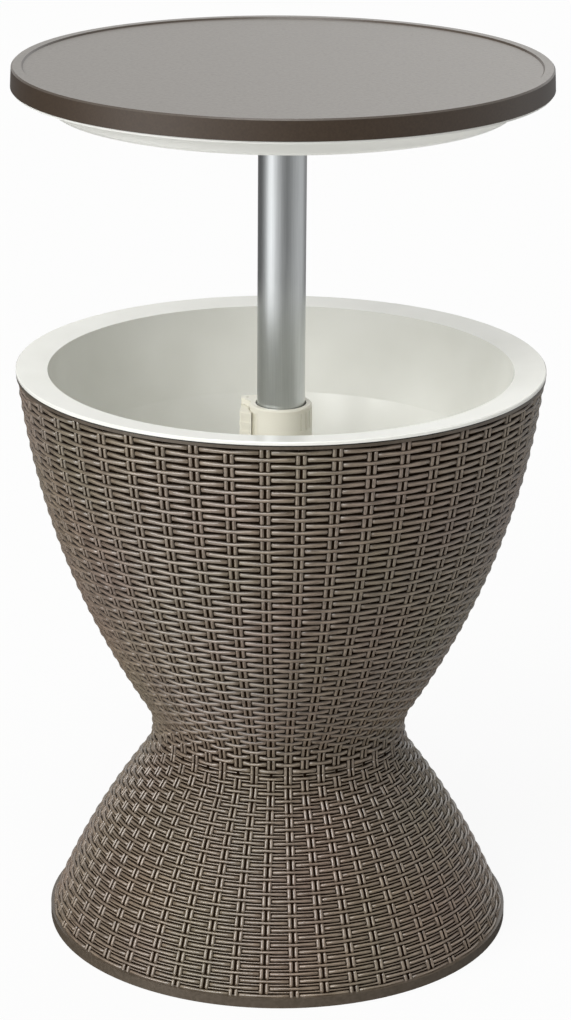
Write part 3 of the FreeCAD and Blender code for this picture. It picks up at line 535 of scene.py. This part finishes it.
def zincSteel():
    # zinc plated steel: pale bluish metal with a fine crystalline cloud
    look = zincLook
    material, tree, output = newMaterial("zincSteel")
    place = addNode(tree, "TexCoord")
    cloud = addNode(tree, "TexNoise", {"Vector": place.outputs["Object"],
                                       "Scale": look["clouds"], "Detail": 3.0})
    ramp = addNode(tree, "ValToRGB", {"Fac": cloud.outputs["Fac"]},
                   [(0, hexColour(look["dark"])), (1, hexColour(look["light"]))])
    shader = addNode(tree, "BsdfPrincipled", {
        "Base Color": ramp.outputs[0], "Metallic": 1.0, "Roughness": look["roughness"]})
    tree.links.new(shader.outputs[0], output.inputs[0])
    return material


nodeMaterials = {
    "lid_brown": grainedLid(), "wicker_brown": shellPlastic(),
    "white_plastic": mouldedPlastic("tubPolypropylene"),
    "collar_cream": mouldedPlastic("collarNylon"), "bush_grey": mouldedPlastic("bushAcetal"),
    "seal_rubber": mouldedPlastic("sealRubber"),
    "mast_aluminium": drawnAluminium(), "screw_steel": zincSteel(),
}
for entry in frame["record"]["subparts"]:
    mesh = frame["nodes"][entry["node"]].data
    mesh.materials.clear()
    mesh.materials.append(nodeMaterials[entry["material_slot"]])
linerWhite = mouldedPlastic("linerPolypropylene")
for name in ("lid_liner", "mast_head"):
    frame["nodes"][name].data.materials[0] = linerWhite
print("materials on the nodes")


# Weave pieces. Steps of their UV maps: along a strand in metres, round it as a share of a turn, and
# whole turns from strand to strand, so that only the streaks change

weaverMap = {"along": 3.7 * mm, "around": 1 / len(strandSection), "strip": 4}
stakeMap = {"along": 1.32 * mm, "around": 1 / len(strandSection), "strip": 3}
wicker = mouldedWicker()


def addStrands(name, grid, uv, closed):
    mesh = gridMesh(name, grid, uv, closed)
    piece = bpy.data.objects.new(name, mesh)
    bpy.context.scene.collection.objects.link(piece)
    mesh.shade_smooth()
    mesh.materials.append(wicker)
    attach(piece, "stand")


halfRows = weave["bowlRows"] // 2
addStrands("bowl_weavers_upper", weaverRows("bowl", 0, halfRows), weaverMap, closed=True)
addStrands("bowl_weavers_lower", weaverRows("bowl", halfRows, weave["bowlRows"]), weaverMap,
           closed=True)
addStrands("base_weavers", weaverRows("base", 0, weave["baseRows"]), weaverMap, closed=True)
addStrands("base_ground_ribs", groundRings("base"), weaverMap, closed=True)

# The stakes in equal shares, counted from the front towards +X; their names don't give the side
bowlStakes, baseStakes = stakePairs("bowl"), stakePairs("base")
third, halfBase = len(bowlStakes) // 3, len(baseStakes) // 2
addStrands("bowl_stakes_left", bowlStakes[:third], stakeMap, closed=False)
addStrands("bowl_stakes_right", bowlStakes[third:2 * third], stakeMap, closed=False)
addStrands("bowl_stakes_front", bowlStakes[2 * third:], stakeMap, closed=False)
addStrands("base_stakes_left", baseStakes[:halfBase], stakeMap, closed=False)
addStrands("base_stakes_right", baseStakes[halfBase:], stakeMap, closed=False)
print("weave made")


# Camera: the photograph's angle, found from the rims and the mast

camera = {
    "place": (0, -2.975, 1.410), "pitch": 18.55, "yaw": 0.098, "roll": 0.421,
    "focalPixels": 3304, "frameHeight": 1020, "sensor": 36.0,
}
pitch, yaw, roll = (radians(camera[k]) for k in ("pitch", "yaw", "roll"))
forward = Vector((sin(yaw) * cos(pitch), cos(yaw) * cos(pitch), -sin(pitch)))
level = forward.cross(Vector((0, 0, 1))).normalized()
upright = level.cross(forward)
cameraX = cos(roll) * level + sin(roll) * upright
cameraY = cos(roll) * upright - sin(roll) * level
cameraData = bpy.data.cameras.new("camera")
cameraData.lens = camera["focalPixels"] / camera["frameHeight"] * camera["sensor"]
cameraData.sensor_width = camera["sensor"]
cameraObject = bpy.data.objects.new("camera", cameraData)
turn = Matrix((cameraX, cameraY, -forward)).transposed().to_4x4()
cameraObject.matrix_world = Matrix.Translation(camera["place"]) @ turn
bpy.context.scene.collection.objects.link(cameraObject)
bpy.context.scene.camera = cameraObject

# Studio: soft lamps at the left, the front left and high in front, a weak one at the rear, and a
# white sweep behind and below. Angles are in degrees, azimuth from the front towards +X

studio = {
    "lamps": {
        "left": {"azimuth": -61, "elevation": 26, "spread": 30, "strength": 1.08},
        "front": {"azimuth": -28, "elevation": 29, "spread": 30, "strength": 1.2},
        "high": {"azimuth": -14, "elevation": 66, "spread": 30, "strength": 1.2},
        "rear": {"azimuth": 160, "elevation": 30, "spread": 40, "strength": 0.3},
    },
    "lampDistance": 3.0, "lampAim": (0, 0, 0.4),
    "horizon": 0.07, "horizonTop": 0.1, "overhead": 0.3, "overheadFrom": 0.8,    # light of the room
    "paperLight": 0.2, "paperFrom": 0.12, "paperTo": 0.5,    # of the white sweep, on the table
    # what gloss and metal show round the table: azimuth and brightness
    "surround": [(-180, 0.25), (-140, 0.15), (-120, 0.14), (-100, 0.32), (-84, 0.68), (-68, 1.45),
                 (-54, 1.7), (-40, 1.3), (-26, 0.85), (-12, 0.65), (4, 0.38), (26, 0.27),
                 (50, 0.45), (66, 0.58), (90, 0.7), (114, 0.7), (140, 0.35), (180, 0.25)],
    "brightest": 2.0,                          # the ramp's white
    "above": 0.72, "aboveFrom": 0.5, "aboveTo": 0.9,         # what they show overhead
    "sweepGloss": 0.8, "sweepFrom": 0.75, "sweepTo": 0.93,   # and straight behind
    "tableRadius": 0.23,                       # on the floor the surround closes in on the table
    "shade": 0.25, "shadeEnd": 0.75,           # and is darker in the table's shade
    "floorGlow": 0.92, "floorColour": "#e0e0de", "floorBounce": "#ececea", "floorHalf": 14.0,
}


def towards(azimuth, elevation):
    # unit vector: (sin a cos e, -cos a cos e, sin e), so a lamp at -90 stands on the left
    a, e = radians(azimuth), radians(elevation)
    return Vector((sin(a) * cos(e), -cos(a) * cos(e), sin(e)))


def surround(tree, x, y, factor=1.0):
    # brightness of the surround at the azimuth of x and y, times a factor
    back = addNode(tree, "Math", {0: y, 1: -1.0}, operation="MULTIPLY")
    azimuth = addNode(tree, "Math", {0: x, 1: back.outputs[0]}, operation="ARCTAN2")
    azimuth = addNode(tree, "Math", {0: azimuth.outputs[0], 1: factor}, operation="MULTIPLY")
    share = addNode(tree, "MapRange", {"Value": azimuth.outputs[0], "From Min": -pi,
                                       "From Max": pi})
    stops = [((angle + 180) / 360, (*[value / studio["brightest"]] * 3, 1))
             for angle, value in studio["surround"]]
    ramp = addNode(tree, "ValToRGB", {"Fac": share.outputs[0]}, stops)
    ramp.color_ramp.interpolation = "EASE"
    return addNode(tree, "Math", {0: ramp.outputs[0], 1: studio["brightest"]},
                   operation="MULTIPLY").outputs[0]


for name, lamp in studio["lamps"].items():
    away = towards(lamp["azimuth"], lamp["elevation"])
    light = bpy.data.objects.new(name, bpy.data.lights.new(name, "SUN"))
    light.location = away * studio["lampDistance"] + Vector(studio["lampAim"])
    light.rotation_mode = "QUATERNION"
    light.rotation_quaternion = away.to_track_quat("Z", "Y")
    light.data.energy = lamp["strength"]
    light.data.angle = radians(lamp["spread"])
    bpy.context.scene.collection.objects.link(light)

# World: the room's light by height and the sweep's from behind for diffuse rays, the surround for
# glossy rays, and white for the camera and through glass
world = bpy.data.worlds.new("studio")
bpy.context.scene.world = world
world.use_nodes = True
tree = world.node_tree
tree.nodes.clear()
direction = addNode(tree, "TexCoord")
parts = addNode(tree, "SeparateXYZ", {0: direction.outputs["Generated"]})
room = addNode(tree, "MapRange", {
    "Value": parts.outputs["Z"], "From Min": studio["horizonTop"],
    "From Max": studio["overheadFrom"], "To Min": studio["horizon"],
    "To Max": studio["overhead"]}, interpolation_type="SMOOTHSTEP")
behind = addNode(tree, "MapRange", {"Value": parts.outputs["Y"], "From Min": studio["paperFrom"],
                                    "From Max": studio["paperTo"]},
                 interpolation_type="SMOOTHSTEP")
lit = addNode(tree, "Math", {0: behind.outputs[0], 1: studio["paperLight"], 2: room.outputs[0]},
              operation="MULTIPLY_ADD")
high = addNode(tree, "MapRange", {"Value": parts.outputs["Z"], "From Min": studio["aboveFrom"],
                                  "From Max": studio["aboveTo"]}, interpolation_type="SMOOTHSTEP")
sweep = addNode(tree, "MapRange", {"Value": parts.outputs["Y"], "From Min": studio["sweepFrom"],
                                   "From Max": studio["sweepTo"]},
                interpolation_type="SMOOTHSTEP")
low = addNode(tree, "Mix", {"Factor": sweep.outputs[0], "B": studio["sweepGloss"],
                            "A": surround(tree, parts.outputs["X"], parts.outputs["Y"])})
glossy = addNode(tree, "Mix", {"Factor": high.outputs[0], "A": low.outputs[0],
                               "B": studio["above"]})
rays = addNode(tree, "LightPath")
strength = addNode(tree, "Mix", {"Factor": rays.outputs["Is Glossy Ray"], "A": lit.outputs[0],
                                 "B": glossy.outputs[0]})
clear = addNode(tree, "Math", {0: rays.outputs["Is Camera Ray"],
                               1: rays.outputs["Is Transmission Ray"]}, operation="MAXIMUM")
strength = addNode(tree, "Mix", {"Factor": clear.outputs[0], "A": strength.outputs[0], "B": 1.0})
sky = addNode(tree, "Background", {"Color": (1, 1, 1, 1), "Strength": strength.outputs[0]})
tree.links.new(sky.outputs[0], addNode(tree, "OutputWorld").inputs[0])

# Floor: matt white paper that mostly glows for the camera and keeps the rest for the shadow. Gloss
# sees the surround there, its azimuth times 1 + R / (2 reach - R) with the table's radius R
floorMaterial, tree, output = newMaterial("paperSweep")
place = addNode(tree, "TexCoord").outputs["Object"]
parts = addNode(tree, "SeparateXYZ", {0: place})
reach = addNode(tree, "VectorMath", {0: place}, operation="LENGTH")
double = addNode(tree, "Math", {0: reach.outputs["Value"], 1: 2.0, 2: -studio["tableRadius"]},
                 operation="MULTIPLY_ADD")
double = addNode(tree, "Math", {0: double.outputs[0], 1: studio["tableRadius"]},
                 operation="MAXIMUM")
closing = addNode(tree, "Math", {0: studio["tableRadius"], 1: double.outputs[0]},
                  operation="DIVIDE")
closing = addNode(tree, "Math", {0: closing.outputs[0], 1: 1.0}, operation="ADD")
rays = addNode(tree, "LightPath")
clear = addNode(tree, "Math", {0: rays.outputs["Is Camera Ray"],
                               1: rays.outputs["Is Transmission Ray"]}, operation="MAXIMUM")
share = addNode(tree, "Math", {0: clear.outputs[0], 1: studio["floorGlow"]}, operation="MULTIPLY")
share = addNode(tree, "Math", {0: share.outputs[0], 1: rays.outputs["Is Glossy Ray"]},
                operation="MAXIMUM")
shade = addNode(tree, "MapRange", {
    "Value": reach.outputs["Value"], "From Min": studio["tableRadius"],
    "From Max": studio["shadeEnd"], "To Min": studio["shade"]}, interpolation_type="SMOOTHSTEP")
seen = surround(tree, parts.outputs["X"], parts.outputs["Y"], closing.outputs[0])
shaded = addNode(tree, "Math", {0: seen, 1: shade.outputs[0]}, operation="MULTIPLY")
level = addNode(tree, "Mix", {"Factor": rays.outputs["Is Glossy Ray"], "A": 1.0,
                              "B": shaded.outputs[0]})
tint = addNode(tree, "MixRGB", {"Fac": clear.outputs[0],
                                "Color1": hexColour(studio["floorBounce"]),
                                "Color2": hexColour(studio["floorColour"])})
paper = addNode(tree, "BsdfDiffuse", {"Color": tint.outputs[0]})
glow = addNode(tree, "Emission", {"Strength": level.outputs[0]})
mixed = addNode(tree, "MixShader", {0: share.outputs[0], 1: paper.outputs[0], 2: glow.outputs[0]})
tree.links.new(mixed.outputs[0], output.inputs[0])
half = studio["floorHalf"]
floorMesh = bpy.data.meshes.new("floor")
floorMesh.from_pydata([(-half, -half, 0), (half, -half, 0), (half, half, 0), (-half, half, 0)],
                      [], [(0, 1, 2, 3)])
floorMesh.materials.append(floorMaterial)
floor = bpy.data.objects.new("floor", floorMesh)
bpy.context.scene.collection.objects.link(floor)

bpy.context.scene.view_settings.view_transform = "Standard"
print("camera, lamps and floor made")
